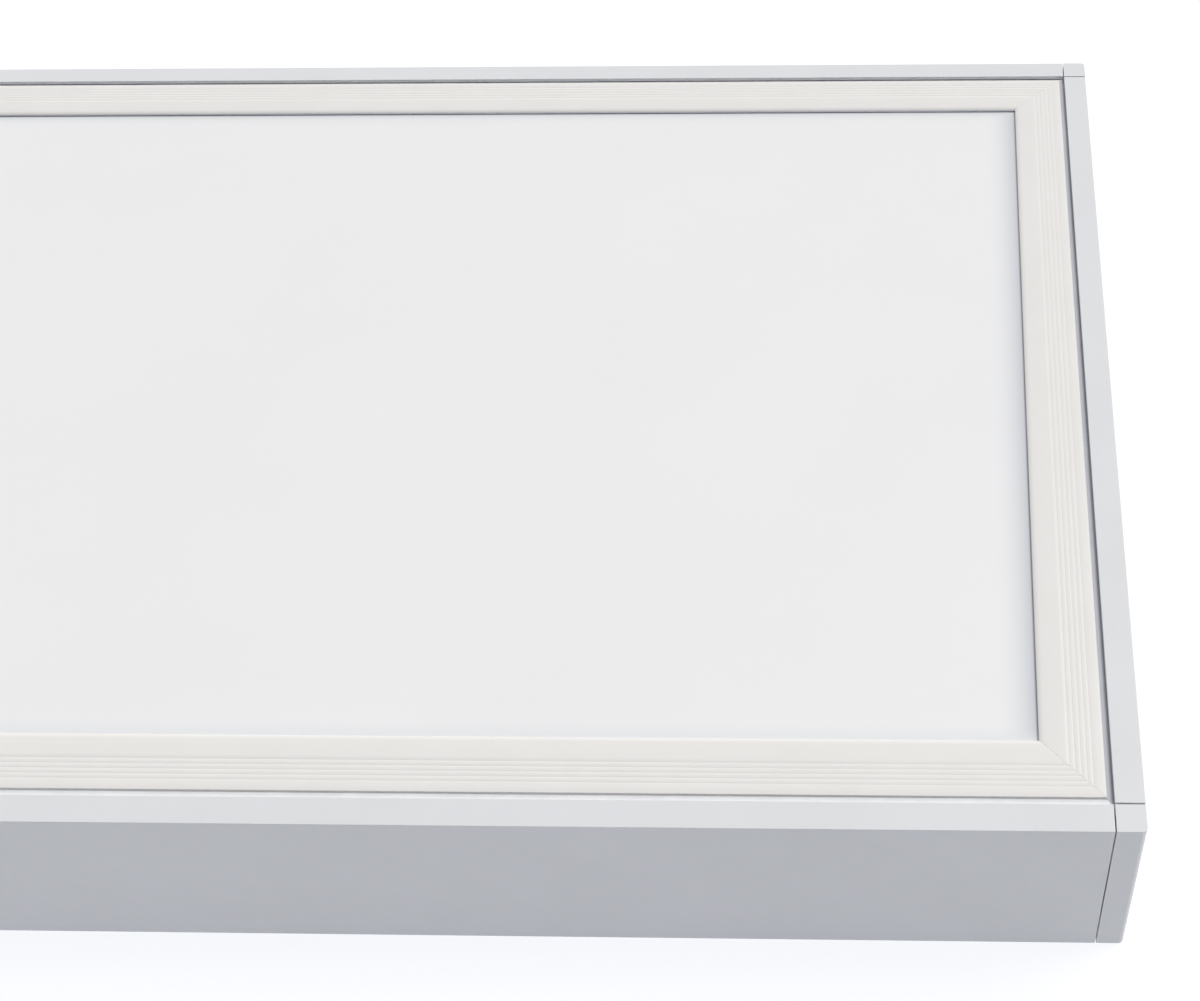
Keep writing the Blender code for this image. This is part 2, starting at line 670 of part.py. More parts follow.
# ---------------------------------------------------------------- lead

def lead_height():
    return from_top(DRIVER_TOP + DRIVER_HEIGHT / 2)


def make_lead(panel):
    bore = LEAD_RADIUS + GAP
    plate_top = from_top(BACK_PLATE[1])
    flange_top = from_top(BACK_PLATE[2] + GAP)
    flange_bottom = flange_top - DRIVER_WALL
    profile = [
        (bore, plate_top),
        (GROMMET_RADIUS, plate_top),
        (GROMMET_RADIUS, flange_top),
        (GROMMET_FLANGE, flange_top),
        (GROMMET_FLANGE, flange_bottom),
        (bore, flange_bottom),
    ]
    grommet = turned_mesh("lead_grommet", profile, hollow=True)
    add_object("lead_grommet", grommet, "black_rubber", panel, (LEAD_X, 0, 0))

    curve = bpy.data.curves.new("panel_lead", "CURVE")
    curve.dimensions = "3D"
    curve.bevel_depth = LEAD_RADIUS
    curve.bevel_resolution = 2
    curve.use_fill_caps = True
    run = lead_height()
    points = [(LEAD_X, from_top(FOAM[1])), (LEAD_X, run + LEAD_BEND)]
    for step in range(1, LEAD_BEND_STEPS + 1):
        angle = math.radians(90 * step / LEAD_BEND_STEPS)
        along, up = LEAD_BEND * (1 - math.cos(angle)), LEAD_BEND * (1 - math.sin(angle))
        points.append((LEAD_X - along, run + up))
    points.append((DRIVER_END - LEAD_ENTRY, run))
    spline = curve.splines.new("POLY")
    spline.points.add(len(points) - 1)
    for point, (x, z) in zip(spline.points, points):
        point.co = (x, 0, z, 1)
    add_object("panel_lead", curve, "cable_white", panel)


def main():
    clear_scene()
    frame = add_empty("frame_parts")
    end_frame = add_empty("end_frame_parts")
    panel = add_empty("panel_parts")
    make_frame(frame, end_frame)
    make_bezels(panel)
    make_sheets(panel)
    make_led_strips(panel)
    make_plate_screws(panel)
    make_driver(panel)
    make_terminal_block(panel)
    make_lead(panel)
    bpy.context.view_layer.update()


main()
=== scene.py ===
import json
import math

import bmesh
import bpy
from mathutils import Matrix, Vector


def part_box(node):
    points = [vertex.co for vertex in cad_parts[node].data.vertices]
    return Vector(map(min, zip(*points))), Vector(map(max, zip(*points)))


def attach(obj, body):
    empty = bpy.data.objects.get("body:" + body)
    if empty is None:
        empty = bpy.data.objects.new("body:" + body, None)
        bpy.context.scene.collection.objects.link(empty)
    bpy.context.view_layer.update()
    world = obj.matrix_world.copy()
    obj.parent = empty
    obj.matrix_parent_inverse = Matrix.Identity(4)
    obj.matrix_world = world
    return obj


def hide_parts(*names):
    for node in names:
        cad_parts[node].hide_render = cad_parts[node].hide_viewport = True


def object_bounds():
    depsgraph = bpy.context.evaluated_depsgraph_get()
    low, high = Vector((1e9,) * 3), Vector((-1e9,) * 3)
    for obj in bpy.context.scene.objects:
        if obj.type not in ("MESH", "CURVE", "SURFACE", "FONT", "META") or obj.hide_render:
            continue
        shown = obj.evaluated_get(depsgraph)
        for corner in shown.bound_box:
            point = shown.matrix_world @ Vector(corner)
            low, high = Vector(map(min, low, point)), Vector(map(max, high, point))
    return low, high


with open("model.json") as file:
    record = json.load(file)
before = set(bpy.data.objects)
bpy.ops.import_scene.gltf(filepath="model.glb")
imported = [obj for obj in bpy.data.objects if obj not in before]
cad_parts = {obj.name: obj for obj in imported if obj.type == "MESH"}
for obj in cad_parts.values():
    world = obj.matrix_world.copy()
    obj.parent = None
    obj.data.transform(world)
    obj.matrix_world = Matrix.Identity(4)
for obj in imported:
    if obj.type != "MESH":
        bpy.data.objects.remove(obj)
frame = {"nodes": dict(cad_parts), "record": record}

MM = 0.001
CAD_BOX = [list(corner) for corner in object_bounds()]
RECORD = frame["record"]
BODY_OF = {node: body for body, nodes in RECORD["behaviour"]["bodies"].items() for node in nodes}
SLOT_OF = {row["node"]: row["material_slot"] for row in RECORD["subparts"]}


# ---------------------------------------------------------------- camera, light and floor

def make_camera():
    """The view from above the right-hand end, in front of the long side."""
    camera = bpy.data.cameras.new("camera")
    camera.sensor_width = 36
    camera.lens = 47.05
    camera.shift_x = -0.25
    camera.clip_start = 0.01
    camera.clip_end = 50
    obj = bpy.data.objects.new("camera", camera)
    bpy.context.scene.collection.objects.link(obj)
    obj.location = (0.5536, -0.3261, 0.4190)
    obj.rotation_euler = [math.radians(angle) for angle in (38.21, 1.28, 1.22)]
    bpy.context.scene.camera = obj


def make_floor():
    """A plain white floor, a little luminous so that the object leaves only a faint shadow."""
    half_width, gap = 12, 0.3 * MM
    bm = bmesh.new()
    bmesh.ops.create_grid(bm, x_segments=1, y_segments=1, size=half_width)
    mesh = bpy.data.meshes.new("floor")
    bm.to_mesh(mesh)
    bm.free()
    floor = bpy.data.objects.new("floor", mesh)
    bpy.context.scene.collection.objects.link(floor)
    floor.location.z = CAD_BOX[0][2] - gap
    material = bpy.data.materials.new("floor")
    material.use_nodes = True
    shader = material.node_tree.nodes["Principled BSDF"]
    shader.inputs["Base Color"].default_value = (0.2, 0.2, 0.2, 1)
    shader.inputs["Roughness"].default_value = 0.9
    shader.inputs["Specular IOR Level"].default_value = 0
    shader.inputs["Emission Color"].default_value = (0.975, 0.99, 1.025, 1)
    shader.inputs["Emission Strength"].default_value = 0.87
    mesh.materials.append(material)


def make_sky():
    """A sky that is bright behind and dim and cool in front. The camera sees plain white instead."""
    world = bpy.data.worlds.new("studio")
    bpy.context.scene.world = world
    world.use_nodes = True
    tree = world.node_tree
    nodes, links = tree.nodes, tree.links
    nodes.clear()
    out = nodes.new("ShaderNodeOutputWorld")
    direction = nodes.new("ShaderNodeTexCoord").outputs["Generated"]
    split = nodes.new("ShaderNodeSeparateXYZ")
    links.new(direction, split.inputs[0])
    front_to_back = nodes.new("ShaderNodeMapRange")
    front_to_back.interpolation_type = "SMOOTHSTEP"
    front_to_back.inputs["From Min"].default_value = -0.55
    front_to_back.inputs["From Max"].default_value = 0.5
    links.new(split.outputs["Y"], front_to_back.inputs["Value"])
    sky = nodes.new("ShaderNodeMix")
    sky.data_type = "RGBA"
    sky.inputs["A"].default_value = (0.05, 0.07, 0.12, 1)
    sky.inputs["B"].default_value = (0.93, 0.935, 0.945, 1)
    links.new(front_to_back.outputs[0], sky.inputs["Factor"])
    light = nodes.new("ShaderNodeBackground")
    links.new(sky.outputs["Result"], light.inputs["Color"])
    backdrop = nodes.new("ShaderNodeBackground")
    backdrop.inputs["Color"].default_value = (1, 1, 1, 1)
    seen = nodes.new("ShaderNodeLightPath")
    mix = nodes.new("ShaderNodeMixShader")
    links.new(seen.outputs["Is Camera Ray"], mix.inputs[0])
    links.new(light.outputs[0], mix.inputs[1])
    links.new(backdrop.outputs[0], mix.inputs[2])
    links.new(mix.outputs[0], out.inputs["Surface"])


def make_sun(name, strength, spread, azimuth, elevation, colour):
    """A soft light from `azimuth` (0 is +X, 90 is +Y) and `elevation` above the floor, in degrees."""
    light = bpy.data.lights.new(name, "SUN")
    light.energy = strength
    light.angle = math.radians(spread)
    light.color = colour
    obj = bpy.data.objects.new(name, light)
    bpy.context.scene.collection.objects.link(obj)
    turn, rise = math.radians(azimuth), math.radians(elevation)
    flat = math.cos(rise)
    towards = Vector((flat * math.cos(turn), flat * math.sin(turn), math.sin(rise)))
    obj.rotation_euler = towards.to_track_quat("Z", "Y").to_euler()


# ---------------------------------------------------------------- materials

class Finish:
    """A procedural material, built up by its methods. Lengths are metres in the piece's own frame."""

    def __init__(self, name, roughness, metallic=0.0):
        self.material = bpy.data.materials.new(name)
        self.material.use_nodes = True
        self.tree = self.material.node_tree
        self.shader = self.tree.nodes["Principled BSDF"]
        self.place = self.tree.nodes.new("ShaderNodeTexCoord").outputs["Object"]
        self.shader.inputs["Roughness"].default_value = roughness
        self.shader.inputs["Metallic"].default_value = metallic
        self.normal = None

    def add(self, kind, **inputs):
        """A new node. Each input is a number, or another node's output."""
        node = self.tree.nodes.new(kind)
        for name, value in inputs.items():
            if isinstance(value, bpy.types.NodeSocket):
                self.tree.links.new(value, node.inputs[name])
            else:
                node.inputs[name].default_value = value
        return node

    def noise(self, size, stretch=(1, 1, 1), detail=3.0):
        """Noise whose features are about `size` across, longer along an axis by its `stretch`."""
        scale = [1 / (size * factor) for factor in stretch]
        place = self.add("ShaderNodeMapping", Vector=self.place, Scale=scale).outputs[0]
        noise = self.add("ShaderNodeTexNoise", Vector=place, Scale=1.0, Detail=detail, Roughness=0.55)
        return noise.outputs["Fac"]

    def remap(self, value, low, high, to_low, to_high):
        """`value` with `low` to `high` stretched over `to_low` to `to_high`, and held at both ends."""
        node = self.add("ShaderNodeMapRange", Value=value)
        limits = {"From Min": low, "From Max": high, "To Min": to_low, "To Max": to_high}
        for socket, number in limits.items():
            node.inputs[socket].default_value = number
        return node.outputs[0]

    def mix(self, factor, first, second):
        """`first` where `factor` is 0 and `second` where it is 1."""
        node = self.tree.nodes.new("ShaderNodeMix")
        node.data_type = "RGBA"
        self.tree.links.new(factor, node.inputs["Factor"])
        for socket, colour in (("A", first), ("B", second)):
            if isinstance(colour, bpy.types.NodeSocket):
                self.tree.links.new(colour, node.inputs[socket])
            else:
                node.inputs[socket].default_value = (*colour, 1)
        return node.outputs["Result"]

    def calculate(self, operation, value, other=0.5):
        node = self.tree.nodes.new("ShaderNodeMath")
        node.operation = operation
        self.tree.links.new(value, node.inputs[0])
        node.inputs[1].default_value = other
        return node.outputs[0]

    def colour(self, value):
        self.tree.links.new(value, self.shader.inputs["Base Color"])
        return self

    def mottle(self, first, second, size, stretch=(1, 1, 1)):
        """Two close colours, mixed by soft noise."""
        factor = self.remap(self.noise(size, stretch), 0.35, 0.65, 0.0, 1.0)
        return self.mix(factor, first, second)

    def rough(self, low, high, size, stretch=(1, 1, 1)):
        """Roughness that varies between `low` and `high`."""
        value = self.remap(self.noise(size, stretch), 0.3, 0.7, low, high)
        self.tree.links.new(value, self.shader.inputs["Roughness"])
        return self

    def cells(self, size, randomness=1.0):
        """Distance from the middle of the nearest cell, where cells are `size` across."""
        place = self.add("ShaderNodeMapping", Vector=self.place, Scale=[1 / size] * 3).outputs[0]
        cells = self.add("ShaderNodeTexVoronoi", Vector=place, Scale=1.0, Randomness=randomness)
        return cells.outputs["Distance"]

    def relief(self, value, height):
        """Relief `height` deep. Each call adds to the relief before it."""
        bump = self.add("ShaderNodeBump", Height=value, Strength=1.0, Distance=height)
        if self.normal:
            self.tree.links.new(self.normal, bump.inputs["Normal"])
        self.normal = bump.outputs[0]
        self.tree.links.new(self.normal, self.shader.inputs["Normal"])
        return self

    def grain(self, size, height, stretch=(1, 1, 1)):
        return self.relief(self.noise(size, stretch, detail=2.0), height)


def tint(colour, factor):
    return tuple(min(1.0, channel * factor) for channel in colour)


def powder_coat():
    finish = Finish("white_powder_coat", 0.42)
    white = (0.722, 0.725, 0.732)
    finish.colour(finish.mottle(tint(white, 0.985), tint(white, 1.01), 30 * MM))
    finish.rough(0.38, 0.48, 3 * MM)
    return finish.grain(0.5 * MM, 0.006 * MM).grain(2.5 * MM, 0.01 * MM).material


def bezel_coat(name, stretch):
    """Warm white on an extrusion, with faint die lines along it."""
    finish = Finish(name, 0.4)
    base = finish.mottle((0.805, 0.785, 0.752), (0.795, 0.771, 0.74), 14 * MM)
    lines = finish.remap(finish.noise(0.35 * MM, stretch, detail=2.0), 0.3, 0.7, 0.0, 1.0)
    shade = finish.add("ShaderNodeMix")
    shade.data_type = "RGBA"
    shade.blend_type = "MULTIPLY"
    shade.inputs["Factor"].default_value = 1.0
    finish.tree.links.new(base, shade.inputs["A"])
    finish.tree.links.new(finish.mix(lines, (0.985, 0.985, 0.985), (1, 1, 1)), shade.inputs["B"])
    finish.colour(shade.outputs["Result"])
    finish.rough(0.36, 0.46, 2 * MM, stretch)
    return finish.grain(0.35 * MM, 0.008 * MM, stretch).grain(0.6 * MM, 0.004 * MM).material


def painted_edge_shade_weight(finish, axis, edge, fade):
    """The weight of a painted shade: 1 where the axis reads `edge` or -`edge`, falling to 0 a distance
    `fade` inside it.
    """
    split = finish.add("ShaderNodeSeparateXYZ", Vector=finish.place)
    distance = finish.calculate("ABSOLUTE", split.outputs[axis])
    ramp = finish.remap(distance, edge - fade, edge, 0.0, 1.0)
    return finish.calculate("POWER", ramp, 2.2)


def opal():
    """The sheet's colour is painted darker and bluer near its edges, where they run under the bezel: a
    painted shadow of the bezel, deeper along the two ends than along the long sides.
    """
    finish = Finish("opal_acrylic", 0.5)
    visible_x, visible_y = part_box("right_bezel")[0].x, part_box("back_bezel")[0].y
    white = finish.mottle((0.828, 0.825, 0.82), (0.838, 0.834, 0.829), 60 * MM)
    # Painted shade: the colour darkens to these blue greys near the ends and near the long edges.
    ends = finish.mix(painted_edge_shade_weight(finish, "X", visible_x, 11 * MM), white, (0.55, 0.565, 0.595))
    edges = finish.mix(painted_edge_shade_weight(finish, "Y", visible_y, 6 * MM), ends, (0.71, 0.72, 0.735))
    finish.colour(edges)
    finish.rough(0.48, 0.56, 4 * MM)
    return finish.grain(0.25 * MM, 0.004 * MM).material


def plain_plastic(name, colour, roughness):
    finish = Finish(name, roughness)
    finish.colour(finish.mottle(tint(colour, 0.97), tint(colour, 1.03), 8 * MM))
    finish.rough(roughness - 0.05, roughness + 0.06, 2 * MM)
    return finish.grain(0.3 * MM, 0.012 * MM).material


def zinc():
    finish = Finish("zinc_steel", 0.3, metallic=1.0)
    finish.colour(finish.mottle((0.62, 0.63, 0.66), (0.72, 0.72, 0.72), 1.5 * MM))
    finish.rough(0.22, 0.42, 1 * MM)
    return finish.grain(0.15 * MM, 0.004 * MM).material


def coated_steel():
    finish = Finish("steel_plate", 0.45)
    finish.colour(finish.mottle((0.70, 0.71, 0.72), (0.74, 0.745, 0.75), 40 * MM))
    finish.rough(0.38, 0.5, 5 * MM)
    return finish.grain(0.4 * MM, 0.006 * MM).grain(60 * MM, 0.1 * MM).material


def dotted_acrylic():
    """The light guide: clear sheet with a grid of printed dots that send the light up."""
    finish = Finish("clear_acrylic", 0.12)
    dots = finish.remap(finish.cells(2.4 * MM, randomness=0.0), 0.3, 0.36, 1.0, 0.0)
    finish.colour(finish.mix(dots, (0.66, 0.74, 0.74), (0.9, 0.9, 0.9)))
    finish.rough(0.08, 0.18, 6 * MM)
    return finish.grain(3 * MM, 0.004 * MM).material


def foam():
    """Open-celled foam: paler walls, with the pores painted dark as painted shade inside them."""
    finish = Finish("grey_foam", 0.95)
    pores = finish.cells(0.9 * MM)
    wall = finish.remap(pores, 0.1, 0.6, 0.0, 1.0)
    # Painted shade: the pores take the darker grey.
    finish.colour(finish.mix(wall, (0.22, 0.225, 0.23), (0.46, 0.47, 0.48)))
    finish.rough(0.9, 1.0, 2 * MM)
    return finish.relief(pores, 0.25 * MM).material


MATERIALS = {
    "white_powder_coat": powder_coat(),
    "opal_acrylic": opal(),
    "zinc_steel": zinc(),
    "steel_plate": coated_steel(),
    "clear_acrylic": dotted_acrylic(),
    "reflector_film": plain_plastic("reflector_film", (0.88, 0.88, 0.88), 0.3),
    "grey_foam": foam(),
    "led_board": plain_plastic("led_board", (0.8, 0.8, 0.76), 0.5),
    "driver_plastic": plain_plastic("driver_plastic", (0.8, 0.8, 0.79), 0.45),
    "circuit_board": plain_plastic("circuit_board", (0.05, 0.2, 0.08), 0.4),
    "block_grey": plain_plastic("block_grey", (0.35, 0.36, 0.38), 0.5),
    "lever_orange": plain_plastic("lever_orange", (0.8, 0.2, 0.03), 0.35),
    "cable_white": plain_plastic("cable_white", (0.75, 0.75, 0.74), 0.5),
    "black_rubber": plain_plastic("black_rubber", (0.03, 0.03, 0.03), 0.7),
}
DIE_LINE_STRETCH = 600
BEZEL_ALONG_X = bezel_coat("bezel_white_long", (DIE_LINE_STRETCH, 1, 1))
BEZEL_ALONG_Y = bezel_coat("bezel_white_short", (1, DIE_LINE_STRETCH, 1))
# The bezel's outer flange is one part all round, in two painted copies: bright on the long sides as
# painted light, grey on the short sides as painted shade.
LIT_LONG_FLANGE = plain_plastic("bezel_long_flange_painted_light", (0.86, 0.862, 0.868), 0.45)
SHADED_SHORT_FLANGE = plain_plastic("bezel_short_flange_painted_shade", (0.42, 0.43, 0.46), 0.5)
LED_BODY = plain_plastic("led_body", (0.85, 0.85, 0.83), 0.35)
LED_PHOSPHOR = plain_plastic("led_phosphor", (0.83, 0.72, 0.2), 0.3)
COMPONENTS = plain_plastic("board_components", (0.09, 0.09, 0.1), 0.45)


# ---------------------------------------------------------------- shapes

SAME_POINT = 0.001 * MM
SAME_PLANE = math.radians(2)
ROUNDED_ANGLE = math.radians(35)


def add_piece(name, mesh, node, material=None):
    """Link a mesh whose points are already in the row frame, as a piece that stands for a CAD node."""
    obj = bpy.data.objects.new(name, mesh)
    bpy.context.scene.collection.objects.link(obj)
    mesh.materials.clear()
    mesh.materials.append(material or MATERIALS[SLOT_OF[node]])
    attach(obj, BODY_OF[node])
    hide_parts(node)
    return obj


def centre(node):
    low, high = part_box(node)
    return (low + high) / 2


def round_edges(obj, radius, segments=3):
    bevel = obj.modifiers.new("round_edges", "BEVEL")
    bevel.width = radius
    bevel.segments = segments
    bevel.limit_method = "ANGLE"
    bevel.angle_limit = ROUNDED_ANGLE
    shading = obj.modifiers.new("flat_faces", "WEIGHTED_NORMAL")
    shading.weight = 100
    shading.keep_sharp = True
    obj.data.shade_smooth()
    return obj


def rounded_copy(node, radius, segments=3):
    """A piece with its CAD node's own shape and softly rounded edges."""
    bm = bmesh.new()
    bm.from_mesh(frame["nodes"][node].data)
    bmesh.ops.remove_doubles(bm, verts=bm.verts, dist=SAME_POINT)
    bmesh.ops.dissolve_limit(bm, angle_limit=SAME_PLANE, verts=bm.verts, edges=bm.edges)
    mesh = bpy.data.meshes.new(node + "_visual")
    bm.to_mesh(mesh)
    bm.free()
    return round_edges(add_piece(node + "_visual", mesh, node), radius, segments)


def mesh_of(name, bm):
    """A mesh from `bm`, with its faces turned outward. It frees `bm`."""
    bmesh.ops.recalc_face_normals(bm, faces=bm.faces)
    mesh = bpy.data.meshes.new(name)
    bm.to_mesh(mesh)
    bm.free()
    return mesh


def smooth_mesh(name, bm, sharp_from=180):
    """A smooth-shaded mesh, whose edges of `sharp_from` degrees or more stay sharp."""
    mesh = mesh_of(name, bm)
    mesh.shade_smooth()
    if sharp_from < 180:
        mesh.set_sharp_from_angle(angle=math.radians(sharp_from))
    return mesh


def skin(bm, rings):
    """Join closed rings of points in order, and close both ends."""
    rings = [[bm.verts.new(point) for point in ring] for ring in rings]
    for first, second in zip(rings, rings[1:]):
        for i in range(len(first)):
            after = (i + 1) % len(first)
            bm.faces.new((first[i], first[after], second[after], second[i]))
    bm.faces.new(rings[0])
    bm.faces.new(rings[-1])


def arc(middle, radius, start, end, steps):
    """Points on an arc, in (across, depth)."""
    points = []
    for step in range(steps + 1):
        angle = math.radians(start + (end - start) * step / steps)
        points.append((middle[0] + radius * math.cos(angle), middle[1] - radius * math.sin(angle)))
    return points


def pills(name, node, spines, width, height, face):
    """Long rounded beads that stand `height` down from the flat at z = `face`, each along (x0, x1, y)."""
    levels, end_steps, steepest = 5, 8, 85
    bm = bmesh.new()
    for x0, x1, y in spines:
        rings = []
        for level in range(levels + 1):
            rise = math.radians(steepest * level / levels)
            radius, z = width / 2 * math.cos(rise), face - height * math.sin(rise)
            ring = []
            for x, start in ((x1 - width / 2, -90), (x0 + width / 2, 90)):
                for step in range(end_steps + 1):
                    angle = math.radians(start + 180 * step / end_steps)
                    ring.append((x + radius * math.cos(angle), y + radius * math.sin(angle), z))
            rings.append(ring)
        skin(bm, rings)
    return add_piece(name, smooth_mesh(name, bm), node)


def bars(name, node, boxes, radius):
    """Small bars with rounded edges, each (low corner, high corner)."""
    bm = bmesh.new()
    for low, high in boxes:
        skin(bm, [
            [(x, low[1], low[2]), (x, high[1], low[2]), (x, high[1], high[2]), (x, low[1], high[2])]
            for x in (low[0], high[0])
        ])
    return round_edges(add_piece(name, mesh_of(name, bm), node), radius)


def turned(node, profile, middle, direction=(0, 0, 1), hexagonal=()):
    """A body turned about `direction` from (radius, height) points.

    The rings whose numbers are in `hexagonal` are hexagons, for a socket.
    """
    sides, sixth = 36, math.pi / 3
    rings = []
    for number, (radius, height) in enumerate(profile):
        ring = []
        for step in range(sides):
            angle = 2 * math.pi * step / sides
            reach = radius
            if number in hexagonal:
                reach *= math.cos(sixth / 2) / math.cos(angle % sixth - sixth / 2)
            ring.append((reach * math.cos(angle), reach * math.sin(angle), height))
        rings.append(ring)
    bm = bmesh.new()
    skin(bm, rings)
    turn = Vector((0, 0, 1)).rotation_difference(Vector(direction)).to_matrix().to_4x4()
    bm.transform(Matrix.Translation(middle) @ turn)
    return add_piece(node + "_turned", smooth_mesh(node + "_turned", bm, 32), node)


def turned_ring(node, profile, middle):
    """A ring turned about +Z from a closed profile of (radius, height) points."""
    sides = 40
    bm = bmesh.new()
    rings = []
    for step in range(sides):
        angle = 2 * math.pi * step / sides
        ring = []
        for radius, height in profile:
            x, y = middle[0] + radius * math.cos(angle), middle[1] + radius * math.sin(angle)
            ring.append(bm.verts.new((x, y, middle[2] + height)))
        rings.append(ring)
    for first, second in zip(rings, rings[1:] + rings[:1]):
        for i in range(len(profile)):
            after = (i + 1) % len(profile)
            bm.faces.new((first[i], first[after], second[after], second[i]))
    return add_piece(node + "_turned", smooth_mesh(node + "_turned", bm, 40), node)


def thread(radius, low, high, pitch):
    """Profile points of a screw's ridges, from `low` to `high`."""
    crest, root_at, root = 0.35, 0.9, 0.86
    points = []
    for turn in range(int((high - low) / pitch)):
        start = low + turn * pitch
        points += [(radius, start + crest * pitch), (radius * root, start + root_at * pitch)]
    return points


# ---------------------------------------------------------------- frame and bezel

def make_frame_pieces():
    """The four rails and four posts."""
    for side in ("front", "back", "left", "right"):
        rounded_copy(side + "_rail", 0.2 * MM)
    for corner in ("front_left", "front_right", "back_left", "back_right"):
        rounded_copy(corner + "_post", 0.25 * MM)


# The bezel's section, as distances in from the panel's edge and depths below its raised face.
BEZEL_CHAMFER = 0.2 * MM
BEZEL_FLANGE_END = 2.8 * MM
BEZEL_FLANGE_DEPTH = 1.26 * MM
BEZEL_STEP = 0.7 * MM
BEZEL_FACE_START = 4.3 * MM
BEZEL_FACE_DRAFT = 0.12 * MM
BEZEL_FACE_EDGE = 0.22 * MM
BEZEL_SLOPE = 0.14 * MM
BEZEL_ROLL_WIDTH = 1.9 * MM
BEZEL_ROLL_DEPTH = 0.85 * MM
BEZEL_THICKNESS = 1.1 * MM
BEZEL_LEDGE = 7 * MM
BEZEL_LEDGE_DEPTH = 2.56 * MM
BEZEL_WALL = 2.5 * MM
BEZEL_LEG = 7.5 * MM
BEZEL_LEG_THICKNESS = 1 * MM
MITRE_GAP = 0.02 * MM

# The ribs of its face. The first groove's middle is this part of the way across the face.
FIRST_GROOVE = 0.19
GROOVES = 5
GROOVE_PITCH = 1.45 * MM
GROOVE_WIDTH = 0.5 * MM
GROOVE_DEPTH = 0.048 * MM
RIB_CROWN = 0.012 * MM


def ribbed_face(first):
    """The grooves of the face, from the one whose middle is at `first`, with low crowns between them."""
    points = []
    for number in range(GROOVES):
        middle = first + number * GROOVE_PITCH
        for across, depth in ((-0.5, 0.0), (-0.2, 0.75), (0.0, 1.0), (0.2, 0.75), (0.5, 0.0)):
            points.append((middle + across * GROOVE_WIDTH, depth * GROOVE_DEPTH))
        if number < GROOVES - 1:
            for offset in (3 / 8, 5 / 8):
                points.append((middle + offset * GROOVE_PITCH, -RIB_CROWN))
    return points


def bezel_section(width, height):
    """The outline across a bezel side: its outer flange, ribbed face, rolled inner edge, ledge and leg."""
    face_edge = (BEZEL_FACE_START + BEZEL_FACE_DRAFT + BEZEL_FACE_EDGE, BEZEL_FACE_EDGE)
    first_groove = BEZEL_FACE_START + FIRST_GROOVE * (width - BEZEL_FACE_START)
    section = [
        (BEZEL_CHAMFER, BEZEL_FLANGE_DEPTH),
        (BEZEL_FLANGE_END, BEZEL_FLANGE_DEPTH),
        (BEZEL_FACE_START, BEZEL_STEP),
        *arc(face_edge, BEZEL_FACE_EDGE, 160, 90, 4),
        *ribbed_face(first_groove),
    ]
    slope_start = first_groove + (GROOVES - 1) * GROOVE_PITCH + GROOVE_WIDTH / 2
    slope_end = width - BEZEL_ROLL_WIDTH
    slope_steps, roll_steps = 6, 10
    for step in range(1, slope_steps + 1):
        part = step / slope_steps
        section.append((slope_start + (slope_end - slope_start) * part, BEZEL_SLOPE * part**2))
    for step in range(1, roll_steps + 1):
        turn = math.radians(90 * step / roll_steps)
        across = slope_end + BEZEL_ROLL_WIDTH * math.sin(turn)
        section.append((across, BEZEL_SLOPE + BEZEL_ROLL_DEPTH * (1 - math.cos(turn))))
    leg_top = height - BEZEL_LEG_THICKNESS
    section += [
        (width, BEZEL_THICKNESS),
        (BEZEL_LEDGE, BEZEL_THICKNESS),
        (BEZEL_LEDGE, BEZEL_LEDGE_DEPTH),
        (BEZEL_WALL, BEZEL_LEDGE_DEPTH),
        (BEZEL_WALL, leg_top),
        (BEZEL_LEG, leg_top),
        (BEZEL_LEG, height),
        (0, height),
        (0, BEZEL_FLANGE_DEPTH + BEZEL_CHAMFER),
    ]
    return section


def make_bezels():
    """Four mitred sides, each made along +X and then turned into its place."""
    low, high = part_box("front_bezel")
    left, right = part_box("left_bezel")[0].x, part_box("right_bezel")[1].x
    near, far = low.y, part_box("back_bezel")[1].y
    section = bezel_section(high.y - low.y, high.z - low.z)
    sides = (
        # node, middle of its outer edge, half its length, turn about +Z in degrees
        ("front_bezel", (0, near), right, 0),
        ("right_bezel", (right, 0), far, 90),
        ("back_bezel", (0, far), right, 180),
        ("left_bezel", (left, 0), far, 270),
    )
    for node, middle, half, turn in sides:
        along_x = turn % 180 == 0
        bm = bmesh.new()
        skin(bm, [
            [(end * (half - MITRE_GAP - across), across, -depth) for across, depth in section]
            for end in (-1, 1)
        ])
        bm.transform(Matrix.Translation((*middle, high.z)) @ Matrix.Rotation(math.radians(turn), 4, "Z"))
        mesh = smooth_mesh(node + "_ribbed", bm, 50)
        add_piece(node + "_ribbed", mesh, node, BEZEL_ALONG_X if along_x else BEZEL_ALONG_Y)
        # The faces below the step take the flange's copy: painted light on the long sides, painted shade
        # on the short sides.
        mesh.materials.append(LIT_LONG_FLANGE if along_x else SHADED_SHORT_FLANGE)
        for face in mesh.polygons:
            face.material_index = int(high.z - face.center.z > BEZEL_STEP)


# ---------------------------------------------------------------- inside and underneath

def make_grub_screw(node):
    """A grub screw whose hex socket faces the inside of the frame."""
    low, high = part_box(node)
    size, middle = high - low, centre(node)
    axis = min(range(3), key=lambda i: size[i])
    inward = [-math.copysign(1, middle[axis]) if i == axis else 0 for i in range(3)]
    radius, half, pitch = max(size) / 2, size[axis] / 2, 0.5 * MM
    tip, tip_edge, rim, socket = (radius * share for share in (0.45, 0.8, 0.85, 0.55))
    profile = [(tip, -half), (tip_edge, -half)]
    profile += thread(radius, -half + 0.1 * MM, half - 0.2 * MM, pitch)
    profile += [(rim, half), (socket, half), (socket, 0)]
    last = len(profile) - 1
    turned(node, profile, middle, inward, hexagonal=(last - 1, last))


